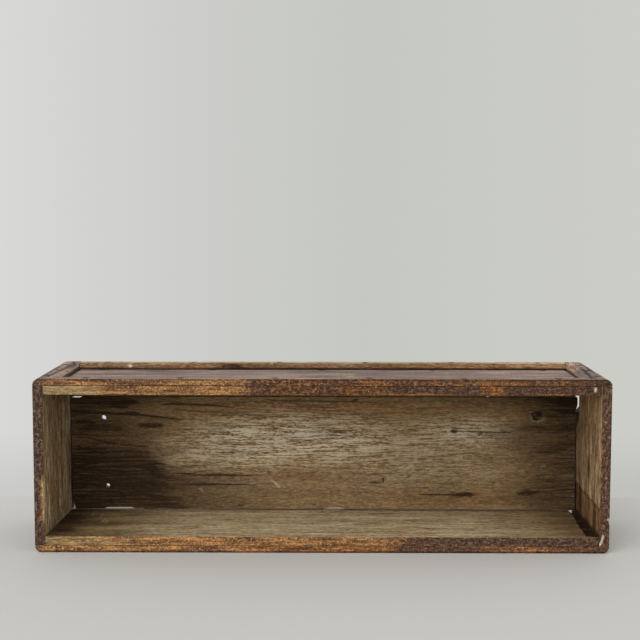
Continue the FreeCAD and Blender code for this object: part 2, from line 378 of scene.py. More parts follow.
class Shader:
    """Adds nodes to one material and joins them up."""

    def __init__(self, name, offset=(0, 0, 0)):
        self.material = bpy.data.materials.new(name)
        self.material.use_nodes = True
        self.nodes = self.material.node_tree.nodes
        self.links = self.material.node_tree.links
        self.surface = self.nodes["Principled BSDF"]
        self.place = self.add("ShaderNodeTexCoord").outputs["Object"]
        self.offset = offset

    def add(self, kind, inputs=(), **settings):
        node = self.nodes.new(kind)
        for key, value in settings.items():
            setattr(node, key, value)
        for key, value in dict(inputs).items():
            self.put(node.inputs[key], value)
        return node

    def put(self, socket, value):
        if isinstance(value, bpy.types.NodeSocket):
            self.links.new(value, socket)
        else:
            socket.default_value = value

    def math(self, operation, first, second=0.0, third=0.0, clamp=False):
        node = self.add("ShaderNodeMath", operation=operation, use_clamp=clamp)
        for socket, value in zip(node.inputs, (first, second, third)):
            self.put(socket, value)
        return node.outputs[0]

    def times(self, first, second):
        return self.math("MULTIPLY", first, second)

    def plus(self, first, second):
        return self.math("ADD", first, second)

    def less(self, first, second):
        return self.math("SUBTRACT", first, second)

    def scaled(self, value, factor, shift):
        """The value times the factor, plus the shift."""
        return self.math("MULTIPLY_ADD", value, factor, shift)

    def mix(self, share, first, second, blend="MIX"):
        node = self.add("ShaderNodeMix", data_type="RGBA", blend_type=blend, clamp_factor=True)
        self.put(node.inputs[0], share)
        self.put(node.inputs[6], first)
        self.put(node.inputs[7], second)
        return node.outputs[2]

    def grey(self, value):
        return self.add("ShaderNodeCombineColor", {0: value, 1: value, 2: value}).outputs[0]

    def mark(self, name):
        """A mark that the mesh carries at its points."""
        node = self.add("ShaderNodeAttribute", attribute_type="GEOMETRY", attribute_name=name)
        return node.outputs["Fac"]

    def counted(self, size, place=None):
        """A place counted in steps of the given size in metres along each axis."""
        inputs = {"Vector": place or self.place, "Location": self.offset,
                  "Scale": tuple(1 / s for s in size)}
        return self.add("ShaderNodeMapping", inputs).outputs[0]

    def cloud(self, size, detail=3.0, roughness=0.55, place=None):
        """Noise from 0 to 1 with features of the given size in metres."""
        inputs = {"Vector": self.counted(size, place), "Scale": 1.0,
                  "Detail": detail, "Roughness": roughness}
        return self.add("ShaderNodeTexNoise", inputs).outputs[0]

    def between(self, value, low, high):
        """0 at low, 1 at high and beyond, a smooth S between."""
        inputs = {"Value": value, "From Min": low, "From Max": high}
        node = self.add("ShaderNodeMapRange", inputs, interpolation_type="SMOOTHSTEP", clamp=True)
        return node.outputs[0]

    def ramp(self, value, stops):
        """Colours along a value from 0 to 1."""
        node = self.add("ShaderNodeValToRGB", {"Fac": value})
        elements = node.color_ramp.elements
        while len(elements) < len(stops):
            elements.new(1.0)
        for element, (place, colour) in zip(elements, stops):
            element.position = place
            element.color = colour
        return node.outputs[0]


# Features of the wood and the paint in millimetres, along the grain and across it, or the same all ways
BEND, BROAD, STREAK, FIBRE, CHECKS, FLECKS = (90, 22), (110, 9), (32, 1.5), (4.4, 1.0), (12, 0.9), (7, 0.9)
MOTTLE, PATCH, ISLAND = (4, 1.9), (22, 5), (5.6, 3.4)
DUST, GRIT, SPECK, WOBBLE = 1.8, 1.5, 1.0, 2.8
BEND_REACH = 5.0 * MM
RELIEF = 0.25 * MM

# Colours, the tones of wood and coats from dark to light
SILVER = seen(222, 210, 184)
WARM = seen(238, 208, 182)
FLECK = seen(222, 204, 168)
CHECK = seen(46, 32, 20)
# Tint of the dark mark: dirt and grime, and painted shade where the mark is set in creases and gaps
SOOT_AND_SHADE = seen(92, 80, 68)
BRIGHT = seen(232, 214, 190)
GROUND = (seen(84, 54, 34), seen(138, 98, 58), seen(198, 142, 80))
GROUND_GRIT = seen(70, 44, 30)
GROUND_SPECK = seen(226, 192, 146)
PAINT = (seen(34, 22, 16), seen(80, 58, 45), seen(146, 116, 92))
PAINT_SPECK = seen(212, 184, 162)
FADED = (seen(98, 79, 71), seen(140, 118, 108), seen(176, 153, 138))
BOTTOM_TONES = (seen(106, 80, 52), seen(146, 118, 80), seen(178, 150, 106))
SIDE_TONES = (seen(72, 50, 30), seen(152, 124, 82), seen(220, 192, 144))
FRAME_TONES = (seen(92, 66, 44), seen(146, 112, 76), seen(186, 156, 114))
RUST_TONES = (seen(30, 22, 18), seen(58, 36, 24), seen(104, 60, 34))


def old_wood(name, axis, offset, tones):
    """Old softwood, with what is left of an orange ground coat and of a crackled dark top coat over it.

    Bare wood has broad tones, streaks, fibres, dark checks and pale flecks along the grain. Marks on the
    mesh say where it is pale, warm or dark with age, where the ground and the paint are left, where the
    paint is faded, where arrises are worn and where fresh bright wood shows. The dark mark also carries
    painted shade in creases, gaps and a trench, and the pale and bright marks carry painted light where
    light should show through gaps. The paint splits into islands."""
    shader = Shader(name, offset)
    mark, times, plus, less, scaled = shader.mark, shader.times, shader.plus, shader.less, shader.scaled
    mix, between = shader.mix, shader.between

    def run(size, detail, roughness, place=None):
        return shader.cloud(along_grain(axis, size[0] * MM, size[1] * MM), detail, roughness, place)

    def even(size, detail, roughness=0.55):
        return shader.cloud((size * MM,) * 3, detail, roughness)

    # The grain runs along places that are pushed sideways by a slow bend
    push = scaled(run(BEND, 2.0, 0.55), BEND_REACH, -BEND_REACH / 2)
    shove = shader.add("ShaderNodeCombineXYZ", {"XYZ"[i]: push for i in range(3) if i != axis}).outputs[0]
    waved = shader.add("ShaderNodeVectorMath", {0: shader.place, 1: shove}, operation="ADD").outputs[0]
    broad = run(BROAD, 3.0, 0.6, waved)
    streak = run(STREAK, 3.0, 0.6, waved)
    fibre = run(FIBRE, 3.0, 0.75, waved)
    check = run(CHECKS, 2.0, 0.6, waved)
    fleck = run(FLECKS, 2.0, 0.65, waved)
    grit = even(GRIT, 3.0, 0.7)
    mottle = run(MOTTLE, 4.0, 0.7)
    patch = run(PATCH, 3.0, 0.6)

    # Bare wood
    pale = mark("pale")
    tone = scaled(fibre, 0.4, plus(times(broad, 0.25), times(streak, 0.35)))
    tone = scaled(less(tone, 0.5), scaled(pale, 0.35, 0.8), 0.5)
    colour = shader.ramp(tone, list(zip((0.39, 0.5, 0.61), tones)))
    shade = scaled(between(fibre, 0.36, 0.64), 0.24, 0.8)
    shade = scaled(between(even(DUST, 2.0, 0.6), 0.35, 0.65), 0.16, shade)
    colour = mix(1.0, colour, shader.grey(shade), "MULTIPLY")
    colour = mix(times(pale, between(plus(streak, times(fibre, 0.8)), 0.8, 1.04)), colour, SILVER)
    colour = mix(times(between(fleck, 0.56, 0.66), scaled(pale, 0.65, 0.3)), colour, FLECK)
    checks = between(check, 0.62, 0.69)
    colour = mix(times(checks, scaled(pale, -0.25, 0.5)), colour, CHECK)

    # Ground coat
    tone = scaled(streak, 0.3, plus(times(mottle, 0.4), times(patch, 0.3)))
    coat = shader.ramp(tone, list(zip((0.43, 0.5, 0.57), GROUND)))
    coat = mix(times(between(grit, 0.48, 0.38), 0.75), coat, GROUND_GRIT)
    coat = mix(times(between(grit, 0.58, 0.66), 0.85), coat, GROUND_SPECK)
    held = plus(mark("ground"), scaled(mottle, 1.1, -0.55))
    colour = mix(between(held, 0.4, 0.56), colour, coat)

    # Top coat, split into islands by cracks
    wobble = shader.add("ShaderNodeTexNoise", {"Vector": shader.counted((WOBBLE * MM,) * 3), "Scale": 1.0,
                                               "Detail": 3.0}).outputs["Color"]
    islet = shader.counted(along_grain(axis, ISLAND[0] * MM, ISLAND[1] * MM))
    bent = shader.add("ShaderNodeVectorMath", {0: islet, 1: wobble}, operation="ADD").outputs[0]
    islands = shader.add("ShaderNodeTexVoronoi", {"Vector": bent, "Scale": 1.0}, feature="DISTANCE_TO_EDGE")
    crack = between(islands.outputs[0], 0.17, 0.05)
    dark_coat = shader.ramp(scaled(mottle, 0.6, times(grit, 0.4)), list(zip((0.41, 0.5, 0.6), PAINT)))
    tone = scaled(broad, 0.3, plus(times(streak, 0.45), times(grit, 0.25)))
    faded_coat = shader.ramp(tone, list(zip((0.42, 0.5, 0.58), FADED)))
    coat = mix(mark("faded"), dark_coat, faded_coat)
    coat = mix(times(crack, 0.25), coat, CHECK)
    specks = times(between(even(SPECK, 1.0), 0.65, 0.73), between(patch, 0.46, 0.58))
    coat = mix(times(specks, scaled(mark("faded"), -0.8, 0.8)), coat, PAINT_SPECK)
    flaking = plus(scaled(mottle, 0.6, -0.3), scaled(patch, 0.5, -0.25))
    held = less(plus(mark("paint"), flaking), times(crack, scaled(mark("crackled"), 0.5, 0.06)))
    cover = between(less(held, times(mark("worn"), 0.6)), 0.45, 0.52)
    colour = mix(cover, colour, coat)

    # What lies over both
    colour = mix(mark("warm"), colour, WARM, "MULTIPLY")
    # The bright mark shows fresh wood and scratches, and painted light where it is set behind gaps
    colour = mix(times(mark("bright"), between(grit, 0.25, 0.42)), colour, BRIGHT)
    # The dark mark darkens for dirt, and as painted shade where it is set in creases, gaps and the trench
    soot_and_shade = shader.math("MULTIPLY", mark("dark"), scaled(streak, 1.7, 0.15), clamp=True)
    colour = mix(soot_and_shade, colour, mix(1.0, colour, SOOT_AND_SHADE, "MULTIPLY"))

    height = less(scaled(fibre, 0.4, times(streak, 0.6)), times(checks, 0.5))
    height = less(scaled(cover, 0.4, height), times(times(crack, cover), 0.5))
    bump = shader.add("ShaderNodeBump", {"Height": height, "Strength": 0.6, "Distance": RELIEF})
    shader.put(shader.surface.inputs["Base Color"], colour)
    shader.put(shader.surface.inputs["Roughness"], scaled(cover, -0.14, scaled(streak, 0.2, 0.7)))
    shader.put(shader.surface.inputs["Normal"], bump.outputs[0])
    shader.surface.inputs["Specular IOR Level"].default_value = 0.25
    return shader.material


def rusted_iron(name):
    """Rusty cut iron: dark scale with orange bloom and pits."""
    shader = Shader(name)
    bloom = shader.cloud((1.1 * MM,) * 3, 4.0, 0.65)
    pits = shader.cloud((0.4 * MM,) * 3, 2.0)
    colour = shader.ramp(bloom, list(zip((0.35, 0.52, 0.68), RUST_TONES)))
    bump = shader.add("ShaderNodeBump", {"Height": pits, "Strength": 0.8, "Distance": 0.15 * MM})
    shader.put(shader.surface.inputs["Base Color"], colour)
    shader.put(shader.surface.inputs["Normal"], bump.outputs[0])
    shader.surface.inputs["Roughness"].default_value = 0.8
    shader.surface.inputs["Metallic"].default_value = 0.25
    return shader.material


BOTTOM_WOOD = old_wood("bottom_board_wood", 0, (3, 7, 2), BOTTOM_TONES)
END_WOOD = old_wood("end_board_wood", 2, (1, 4, 9), SIDE_TONES)
SIDE_WOOD = old_wood("side_board_wood", 0, (8, 1, 5), SIDE_TONES)
RAIL_WOOD = old_wood("rail_wood", 0, (5, 2, 7), FRAME_TONES)
STILE_WOOD = old_wood("stile_wood", 1, (2, 9, 4), FRAME_TONES)
RUST = rusted_iron("rusted_iron")

ALONG_X_THROUGH_Y = ((1, 0, 0), (0, 0, 1), (0, -1, 0))
ALONG_X_THROUGH_Z = ((1, 0, 0), (0, 1, 0), (0, 0, 1))
ALONG_Z_THROUGH_X = ((0, 0, 1), (0, -1, 0), (1, 0, 0))
ALONG_Y_THROUGH_Z = ((0, 1, 0), (-1, 0, 0), (0, 0, 1))
MARKS = ("pale", "warm", "dark", "ground", "paint", "faded", "crackled", "worn", "bright")


# Nail heads

def nail_heads():
    """The middle of each nail's head and the way it faces, from the outer face of each nail node."""
    heads = []
    for name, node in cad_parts.items():
        if not name.endswith("_nails"):
            continue
        sideways = "corner" in name or name in ("left_bottom_nails", "right_bottom_nails")
        axis = 0 if sideways else 2
        side = -1 if ("left" in name if sideways else "lower" in name) else 1
        points = np.array([v.co for v in node.data.vertices])
        outer = points[points[:, axis] * side > (points[:, axis] * side).max() - 0.1 * MM]
        row = np.argmax(np.ptp(outer, axis=0))
        outer = outer[np.argsort(outer[:, row])]
        breaks = np.flatnonzero(np.diff(outer[:, row]) > 5 * MM) + 1
        heads += [(group.mean(axis=0), axis, side) for group in np.split(outer, breaks)]
    return heads


HEADS = nail_heads()


def sink_round_nails(points, out, marks):
    """A shallow pit and a rust stain round each nail head that lies in this board's outer face."""
    depth = np.zeros(len(points))
    for centre, axis, side in HEADS:
        apart = points - centre
        level = np.abs(apart[:, axis]) < 1.0 * MM
        apart[:, axis] = 0
        far = np.linalg.norm(apart, axis=1) / MM
        near = level & (far < 6)
        if near.any():
            facing = ease(0.3, 0.8, side * out[near, axis])
            depth[near] += HEAD_PIT * MM * facing * (1 - ease(HEAD_REACH, HEAD_REACH + 1.2, far[near]))
            marks.dark[near] += 0.75 * facing * (1 - ease(1.6, 4.5, far[near]))
            marks.paint[near] -= 0.5 * facing * (1 - ease(1.6, 3.2, far[near]))
    return depth


# Boards, with places in millimetres: x to the right, y from the mouth to the base, z up

def blank_marks(points):
    """All the marks that a wood material reads, at nothing."""
    return SimpleNamespace(**{mark: np.zeros(len(points)) for mark in MARKS})


def millimetres(points):
    """The x, the y and the z of all points, in millimetres."""
    return (points / MM).T


def grain_relief(points, axis, seed, height=0.09 * MM):
    """Raised grain: ridges long along the grain, and a slow wave of the whole face."""
    fine = layered(points, along_grain(axis, 40 * MM, 2.4 * MM), seed, 2)
    slow = noise(points, along_grain(axis, 120 * MM, 30 * MM), seed + 7)
    return height * (fine + 1) * 0.5 + 0.12 * MM * (slow + 1) * 0.5


def arris(out):
    """1 where the surface turns from one face to the next, 0 on the faces."""
    return ease(0.02, 0.25, 1 - np.max(np.abs(out), axis=1)) * (np.linalg.norm(out, axis=1) > 0.5)


def arris_dents(points, out, seed, depth):
    """Knocks along the arrises: where the surface turns, noise above a level bites in."""
    bite = ease(0.15, 0.7, noise(points, (5 * MM,) * 3, seed))
    nick = ease(0.2, 0.8, noise(points, (2 * MM,) * 3, seed + 1))
    return depth * (bite + 0.5 * nick) * arris(out)


def piece(node, points, out, depth, quads, triangles, marks, material):
    """Sinks the surface by its depth and makes the mesh, with its marks, in place of its CAD node."""
    points = points - out * (depth + sink_round_nails(points, out, marks))[:, None]
    mesh = bpy.data.meshes.new(node + "_worn")
    faces = quads.tolist() + (triangles.tolist() if triangles is not None else [])
    mesh.from_pydata(points.tolist(), [], faces)
    mesh.polygons.foreach_set("use_smooth", np.ones(len(faces), bool))
    for mark, values in vars(marks).items():
        attribute = mesh.attributes.new(mark, "FLOAT", "POINT")
        attribute.data.foreach_set("value", np.clip(values, 0, 1).astype(np.float32))
    mesh.update()
    board = bpy.data.objects.new(node + "_worn", mesh)
    bpy.context.scene.collection.objects.link(board)
    board.data.materials.append(material)
    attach(board, "root")
    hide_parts(node)


# Right end board: the broken area's upper edge, and the scratches at the foot of its front edge
BROKEN_TOP = 36
FOOT_SCRATCHES = (((223.6, 15.5), (222.6, 10.5)), ((222.9, 11), (221, 7.4)), ((221.6, 8.5), (219.4, 4.4)))


def end_board(node, side, swell, seed):
    """A short side: bare inside, painted on its mouth edge and outside, thicker at the base."""
    points, out, quads = plank(node, ALONG_Z_THROUGH_X, END_STEPS, SOFT_ARRIS)
    low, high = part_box(node)
    outer = low.x if side < 0 else high.x
    share = (points[:, 1] - MOUTH) / (BASE - MOUTH)
    points[:, 0] = outer + (points[:, 0] - outer) * (1 - swell * (1 - share) / (high.x - low.x))
    x, y, z = millimetres(points)
    if side > 0:
        # Broken away inside at the back, near the top, so that light shows past the bottom
        cut = (0.3 * ease(32.5, 36, y) + 0.38 * ease(34, 52, y)) * window(z, 94, 103, 126.8, 129)
        points[:, 0] = outer + (points[:, 0] - outer) * (1 - cut)
    inside, outside = ease(0.5, 0.9, -side * out[:, 0]), ease(0.5, 0.9, side * out[:, 0])
    front, back = ease(0.2, 0.6, -out[:, 1]), ease(0.4, 0.8, out[:, 1])
    in_box = inside * ease(43, 40, y)
    depth = grain_relief(points, 2, seed) + arris_dents(points, out, seed + 3, 0.5 * MM)
    marks = blank_marks(points)
    broad = noise(points, (30 * MM, 30 * MM, 60 * MM), seed + 11)
    band = layered(points, (1, 6 * MM, 30 * MM), seed + 15, 4)
    fine = layered(points, (1, 2.4 * MM, 7 * MM), seed + 16, 3)
    # Painted shade towards the top of the left end's inside; on the right end it is negative, painted light
    painted_top_shade = (0.3 if side < 0 else -0.12) * ease(90, 125, z)
    marks.dark = in_box * (painted_top_shade + 0.4 * ease(0.05, 0.55, band) + 0.45 * ease(0.05, 0.5, fine))
    # Painted shade on the inside where it meets and runs past the bottom boards, dark as a gap
    marks.dark += 0.9 * inside * ease(40, 41.5, y)
    marks.pale = in_box * (0.8 * ease(0.0, 0.5, -band) + 0.6 * ease(0.0, 0.5, -fine))
    marks.paint = 0.93 * front + (0.86 + 0.14 * broad) * outside + 0.7 * back
    marks.ground = 0.85 * front + 0.6 * outside + 0.5 * back
    marks.worn = 0.5 * arris(out)
    marks.faded = 0.25 * outside
    if side < 0:
        age_left_end(points, (x, y, z), (inside, in_box, front), marks, band, seed)
    else:
        trench = np.maximum(inside, ease(0.1, 0.5, -out[:, 2]))
        rim = np.maximum(front, outside * ease(-50, -55, y))
        age_right_end(points, (x, y, z), (inside, in_box, front, trench, rim), depth, marks, band, seed)
    piece(node, points, out, depth, quads, None, marks, END_WOOD)


def age_left_end(points, places, faces, marks, band, seed):
    """The left end board's own wear, a rubbed front edge, a bleached foot and streaks near the mouth, and
    painted light on its inside at the back.
    """
    x, y, z = places
    inside, in_box, front = faces
    ragged = (x + 1.6 * noise(points, (1, 1, 4 * MM), seed + 6)
              + 0.8 * noise(points, (1, 1, 1.6 * MM), seed + 7))
    rubbed = front * window(z, 18, 28, 54, 72) * ease(-226.5, -221.5, ragged)
    marks.paint -= 0.8 * rubbed
    marks.ground -= 0.38 * rubbed
    foot = in_box * ease(24, 40, y) * ease(40, 20, z)
    # Painted light on the inside at the back, past the bottom boards, where light shows through the slit
    behind = inside * ease(48, 54, y)
    marks.bright += 0.5 * foot * ease(-0.2, 0.4, band)
    marks.dark += 0.25 * front - 0.8 * behind
    marks.dark += in_box * (0.08 - 0.06 * ease(90, 50, z) + 0.6 * stroke(y, z, (-48, 62), (-46, 16), 1.7))
    marks.pale += 0.4 * rubbed + 0.9 * foot + 0.6 * behind
    marks.pale += 0.8 * in_box * stroke(y, z, (-53, 68), (-52, 20), 1.8)


def age_right_end(points, places, faces, depth, marks, band, seed):
    """The right end board's own wear: the broken area, the trench below it, a notch and scratches, with
    painted shade along the broken edge and in the trench.
    """
    x, y, z = places
    inside, in_box, front, trench, rim = faces
    edge = z - BROKEN_TOP - 0.02 * y + 1.4 * noise(points, (9 * MM, 4 * MM, 9 * MM), seed + 20)
    broken = inside * ease(0.6, -0.6, edge)
    splinter = noise(points, (9 * MM, 2.2 * MM, 40 * MM), seed + 21)
    depth += MM * broken * (0.9 + 0.7 * splinter) + 2.2 * MM * rim * spot(x, z, (228.8, 25.7), (2.6, 2.4))
    whole = in_box * (1 - broken)
    marks.pale *= 1 - broken
    marks.pale += 0.15 * whole
    marks.warm += 0.6 * broken + 0.35 * whole + 0.5 * front
    marks.dark += broken * (0.22 + 0.2 * ease(0, 0.6, splinter) + 0.2 * ease(0.2, 0.7, band))
    # The spot is a stain; the line along the broken edge is painted shade below its step
    marks.dark += 0.6 * broken * spot(y, z, (-36, 24), (5, 7)) + 0.6 * inside * np.exp(-(edge / 0.7) ** 2)
    # Painted shade low in the trench between the end board and the floor's short end
    marks.dark += trench * ease(15.5, 11.5, z + 3.5 * splinter) * ease(-56, -54, y)
    marks.dark += 0.9 * inside * ease(27, 34, y) * window(z, 78, 96, 114, 122)
    marks.dark += 0.8 * front * stroke(x, z, (221.5, 23.6), (228.5, 26.6), 0.9)
    marks.dark += in_box * spots(y, z, (0.7, (-12, 60), (12, 16)), (0.56, (-26, 77), (5, 20)))
    marks.worn *= 1 - ease(16, 12, z) * ease(-56, -54, y)
    marks.paint -= front * (0.2 * window(z, 45, 70, 100, 125) + 0.5 * ease(221.4, 220.2, x))
    marks.bright += 0.9 * front * spot(x, z, (227.4, 27.2), (1.6, 1.6))
    marks.bright += 0.9 * front * strokes(x, z, 1.0, FOOT_SCRATCHES)


# Side boards: how much paint and ground is left along x on their mouth edges
UPPER_SIDE_PAINT = ((-220, 0.1), (-190, 0.2), (-182, 0.48), (-172, 0.34), (-152, 0.48), (-142, 0.48),
                    (-134, 0.3), (-64, 0.32), (-54, 0.78), (28, 0.85), (40, 0.7), (50, 0.72), (58, 0.82),
                    (122, 0.82), (127, 0.4), (140, 0.4), (146, 0.78), (220, 0.82))
UPPER_SIDE_GROUND = ((-220, 0.15), (-186, 0.3), (-165, 0.7), (-110, 0.75), (-60, 0.9), (220, 0.9))
LOWER_SIDE_PAINT = ((-220, 0.16), (-172, 0.28), (-165, 0.46), (-158, 0.3), (-152, 0.5), (-144, 0.3),
                    (-120, 0.3), (30, 0.4), (56, 0.5), (72, 0.66), (220, 0.76))
LOWER_SIDE_GROUND = ((-220, 0.4), (-170, 0.5), (-100, 0.7), (40, 0.85), (220, 0.8))
# Where the dark crackled stretch of the upper mouth edge begins, and the floor's scratches
CRACKLE_START = (-62, -50)
FLOOR_SCRATCHES = tuple(((x, foot), (x + 1.4, top)) for x, foot, top in
                        ((-204, 14, 27), (-199, 10, 28), (-196.5, 12, 26), (-189, -6, 24), (-184, -18, 8),
                         (-181, -22, 2)))


def upper_side_board(node, seed):
    """The long side seen from above: faded panel outside, bare inside, two coats on its mouth edge."""
    points, out, quads = plank(node, ALONG_X_THROUGH_Z, SIDE_STEPS, SIDE_ARRIS)
    x, y, z = millimetres(points)
    outside, inside = ease(0.5, 0.9, out[:, 2]), ease(0.5, 0.9, -out[:, 2])
    front = ease(0.2, 0.6, -out[:, 1])
    open_arris = ease(133.4, 131, z)
    crackle = ease(*CRACKLE_START, x)
    depth = grain_relief(points, 0, seed) + arris_dents(points, out, seed + 3, 0.35 * MM) * open_arris
    marks = blank_marks(points)
    lip = ease(128.3, 127.3, z) * front
    rubbing = ease(-20, 20, x) * (0.45 + 0.5 * noise(points, (18 * MM, 1, 1), seed + 8))
    marks.paint = front * stops(x, *UPPER_SIDE_PAINT) - lip * rubbing
    marks.crackled = 0.15 + 0.85 * front * crackle * ease(62, 20, x)
    marks.ground = front * stops(x, *UPPER_SIDE_GROUND)
    marks.worn = 0.4 * arris(out) * open_arris
    marks.bright = front * spot(x, z, (214.9, 131.3), (1.1, 3.0))
    marks.warm = front * (0.7 * crackle
                          + spots(x, z, (0.9, (-182, 131), (5, 4)), (0.9, (-147, 130), (7, 4))))
    marks.dark = front * (0.22 * ease(-170, -190, x) + 0.1 + 0.2 * crackle * ease(60, 30, x))
    # The panel, with olive spots where its paint is thin, and a crevice along the frame, its dark line
    # painted shade
    olive = spots(x, y, (1, (23, 12), (10, 30)), (0.7, (178, 15), (36, 20)), (0.6, (-170, 10), (20, 12)))
    veil = layered(points, (60 * MM, 5 * MM, 1), seed + 5, 2)
    marks.paint += outside * (0.8 + 0.12 * veil - 0.22 * olive)
    marks.dark += outside * (0.4 * ease(0.05, 0.6, -veil) + 0.16 * window(x, -110, -60, 60, 130) - 0.06)
    marks.faded = outside
    marks.pale = 0.3 * outside
    crevice = np.maximum(ease(45.2, 46.6, y), ease(208.6, 210.4, np.abs(x)))
    crevice = outside * np.maximum(crevice, 0.6 * ease(-45.6, -46.4, y))
    # Painted shade in the crevice at the frame's foot, over a shallow dip
    marks.dark += crevice * ease(212, 211, np.abs(x)) + 0.2 * inside
    depth += 0.5 * MM * crevice
    piece(node, points, out, depth, quads, None, marks, SIDE_WOOD)


def lower_side_board(node, seed):
    """The long side that the box stands on, its floor: thinner at the base, its right end broken short."""
    points, out, quads = plank(node, ALONG_X_THROUGH_Z, SIDE_STEPS, SIDE_ARRIS)
    low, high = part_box(node)
    share = (points[:, 1] - MOUTH) / (BASE - MOUTH)
    thinning = LOWER_SIDE_THINNING * share / (high.z - low.z)
    points[:, 2] = low.z + (points[:, 2] - low.z) * (1 - thinning)
    x, y, z = millimetres(points)
    ragged = 0.9 * noise(points, (1, 3 * MM, 1), seed + 30)
    short = ease(-55, -52.5, y) * (5.6 + 3.4 * ease(45, -50, y) + ragged)
    points[:, 0] -= MM * short * ease(192, 220, x)
    inside, outside = ease(0.5, 0.9, out[:, 2]), ease(0.5, 0.9, -out[:, 2])
    front = ease(0.2, 0.6, -out[:, 1])
    in_box = inside * ease(41, 39, y)
    depth = grain_relief(points, 0, seed) + arris_dents(points, out, seed + 3, 0.35 * MM)
    marks = blank_marks(points)
    marks.paint = front * stops(x, *LOWER_SIDE_PAINT) + 0.8 * outside
    marks.crackled = np.full(len(points), 0.15)
    marks.ground = front * stops(x, *LOWER_SIDE_GROUND) + 0.3 * outside
    marks.worn = 0.4 * arris(out)
    marks.warm = front * (spots(x, z, (0.9, (-164, 10), (5, 4)), (0.9, (-149, 9.4), (6, 4)))
                          + 0.5 * ease(40, 70, x))
    marks.faded = 0.5 * outside
    murk = layered(points, (30 * MM, 12 * MM, 1), seed + 31, 3)
    marks.dark = in_box * (0.45 * ease(-175, -212, x) + ease(-110, -180, x) * (0.44 + 0.45 * murk)
                           + 0.35 * ease(165, 214, x) + 0.25 * ease(110, 160, x))
    # Painted shade in a band on the floor at the foot of the bottom boards
    marks.dark += 0.8 * inside * window(y, 37.6, 39.4, 41, 42) * (1 - 0.5 * ease(-60, -90, x))
    # The floor's right end face is darkened as painted shade in the trench; the spot is a stain
    marks.dark += 0.8 * ease(0.5, 0.9, out[:, 0]) + 0.5 * in_box * spot(x, y, (73.7, 1), (5, 3.4))
    marks.dark += 0.8 * in_box * stroke(x, y, (93, -54), (118, -54), 1.0)
    marks.pale = 0.45 * in_box * window(x, -190, -110, 150, 200)
    # Painted light on the floor behind the bottom boards, where light shows through the gap; the strokes
    # are pale scratches
    marks.bright = inside * ease(41, 43, y) + 0.55 * in_box * strokes(x, y, 0.9, FLOOR_SCRATCHES)
    piece(node, points, out, depth, quads, None, marks, SIDE_WOOD)


# Nail holes of the bottom by x, z and bore, and the middle of the boards' thickness
LEFT_TOP_HOLE = (-189.6, 92.1, 4.5)
LEFT_LOW_HOLE = (-186.6, 32.6, 3.9)
RIGHT_LOW_HOLE = (177.3, 27.1, 1.7)
RIGHT_TOP_HOLE = (187.0, 95.0, 1.7)
BOTTOM_MIDDLE = 44.8

# Wide bottom board, along x and z. Dark lines: start, end, width, bow, darkness
DARK_LINES = (
    ((-214, 105.8), (-168, 101), 2.2, 1.5, 0.9), ((-214, 96.5), (-118, 90), 1.2, 2.0, 0.9),
    ((-171, 97), (-158, 96), 1.3, 0.2, 1.0), ((-212, 81.6), (-182, 81.2), 1.1, 0.5, 1.1),
    ((-215, 74.5), (-198, 74.2), 1.0, 0.3, 1.1), ((-201, 74.2), (-176, 69), 1.2, -0.6, 1.0),
    ((-176, 68), (-150, 67), 1.0, 0.4, 0.7), ((-215, 64.3), (-196, 64), 1.1, 0.5, 1.1),
    ((-214, 30.4), (-184, 30.6), 1.0, 0.0, 1.1), ((-214, 88.5), (-196, 87.6), 0.9, 0.4, 0.9),
    ((-140, 104), (-75, 101), 1.4, 1.5, 0.7), ((-130, 100), (-60, 97), 1.1, -1.0, 0.6),
    ((-100, 93), (-55, 95), 0.9, 1.0, 0.5), ((-60, 107.5), (60, 105.5), 0.9, 0.6, 0.6),
    ((-190, 17.5), (-150, 16.6), 2.2, 0.0, 0.5), ((-130, 44), (-60, 42), 1.1, -1.0, 0.7),
    ((-130, 34), (-62, 33.6), 1.0, 0.0, 0.7))
# Knots, worm holes and stains: centre, half size, darkness, depth
DARK_SPOTS = (
    ((-147.6, 85.6), (19, 3.2), 1.0, 0.4), ((-146.6, 85.6), (6, 2.8), 1.5, 0.9),
    ((-84, 70.5), (8, 3.4), 0.7, 0.25), ((-76, 69), (6, 2.4), 0.7, 0.25),
    ((-77.6, 61.9), (1.7, 1.7), 1.3, 0.9), ((-162.8, 44), (1.5, 1.2), 1.2, 0.8),
    ((-72.2, 15.8), (1.5, 1.4), 1.3, 0.9), ((67, 87.4), (1.3, 1.2), 1.2, 0.9),
    ((75.1, 41.2), (1.5, 1.3), 1.2, 0.8), ((27.6, 108.2), (2.8, 1.4), 1.3, 0.7),
    ((-173.5, 20.5), (4.4, 3.4), 1.4, 1.4), ((-184, 21), (24, 6), 0.6, 0.0),
    ((114.2, 80.8), (4.6, 2.5), 1.6, 1.6), ((120, 25), (18, 3.0), 0.7, 0.4),
    ((127, 25.2), (7, 2.6), 0.9, 0.7), ((175.1, 26.3), (5.4, 2.5), 1.3, 0.6),
    ((178, 26.4), (11, 3), 0.5, 0.0), ((-196, 52), (22, 20), 0.45, 0.0))
# Cracks: start, end, width
CRACKS = (((84, 25.2), (112, 25.4), 0.9), ((116, 80.8), (165, 80), 0.7),
          ((40, 35.8), (53, 35.6), 0.7), ((52.6, 35.6), (53.8, 42), 0.8))
# Pale scratches and splinters: start, end
SCRATCHES = (((-44.5, 38), (-39, 34)), ((-42, 36.6), (-36.5, 30.6)), ((-107, 31), (-103.5, 26.8)),
             ((-84, 71), (-78, 67.6)))
KNOT_SPLINTERS = (((182.8, 98), (185.4, 92.6)), ((185.6, 92.4), (188.6, 93.6)), ((180.6, 95), (182, 90.6)))
# The splintered knot: its middle and half size, and the pit in it
KNOT, KNOT_SIZE = (185, 94.6), (6.6, 5.8)
PIT, PIT_SIZE = (187.6, 95), (1.2, 1.5)


